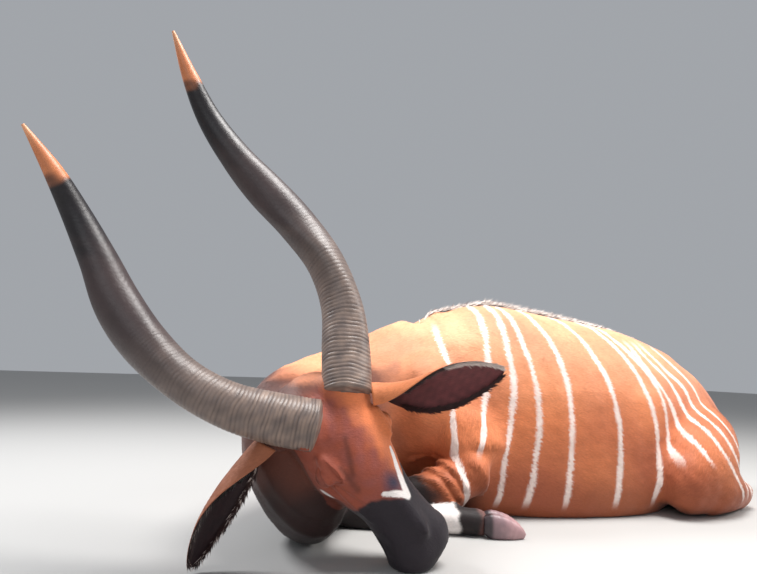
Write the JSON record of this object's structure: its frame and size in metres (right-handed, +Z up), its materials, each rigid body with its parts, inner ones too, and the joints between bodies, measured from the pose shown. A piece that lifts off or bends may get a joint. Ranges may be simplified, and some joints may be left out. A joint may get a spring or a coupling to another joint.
{
  "type": "bongo antelope museum model",
  "caption": "Life-size still model of a bull bongo lying on its brisket, neck bent to its left with the muzzle on the floor, long lyre-shaped horns, striped flanks.",
  "frame": {"origin": "on the floor, at the middle of the flat under the belly that the animal rests on", "axes": "+X along the trunk towards the rump, -X towards the chest, +Y towards the animal's right side, -Y towards its left side, +Z up"},
  "size_m": [2.3932, 0.9256, 1.0586],
  "materials": {
    "coat": "short chestnut hair with white stripes, darker on the neck and lower parts",
    "dark_coat": "short blackish hair on the lower legs and muzzle",
    "ear_coat": "short hair outside, bare purplish skin and long fringe hairs inside",
    "horn": "grey-brown ringed horn, black above, amber tips",
    "hoof": "worn pinkish grey horn",
    "eye": "moist dark eye, half closed"
  },
  "bodies": {
    "root": {"torso": "coat", "neck": "coat", "head": "coat", "horn_left": "horn", "horn_right": "horn", "ear_left": "ear_coat", "ear_right": "ear_coat", "eye_left": "eye", "eye_right": "eye", "foreleg_upper_left": "coat", "foreleg_lower_left": "dark_coat", "hindleg_upper_left": "coat", "hindleg_lower_left": "dark_coat", "hoof_front_left_outer": "hoof", "hoof_hind_left_outer": "hoof", "hoof_front_left_inner": "hoof", "hoof_hind_left_inner": "hoof", "foreleg_upper_right": "coat", "foreleg_lower_right": "dark_coat", "hindleg_upper_right": "coat", "hindleg_lower_right": "dark_coat", "hoof_front_right_outer": "hoof", "hoof_hind_right_outer": "hoof", "hoof_front_right_inner": "hoof", "hoof_hind_right_inner": "hoof", "tail": "coat"}
  },
  "joints": []
}
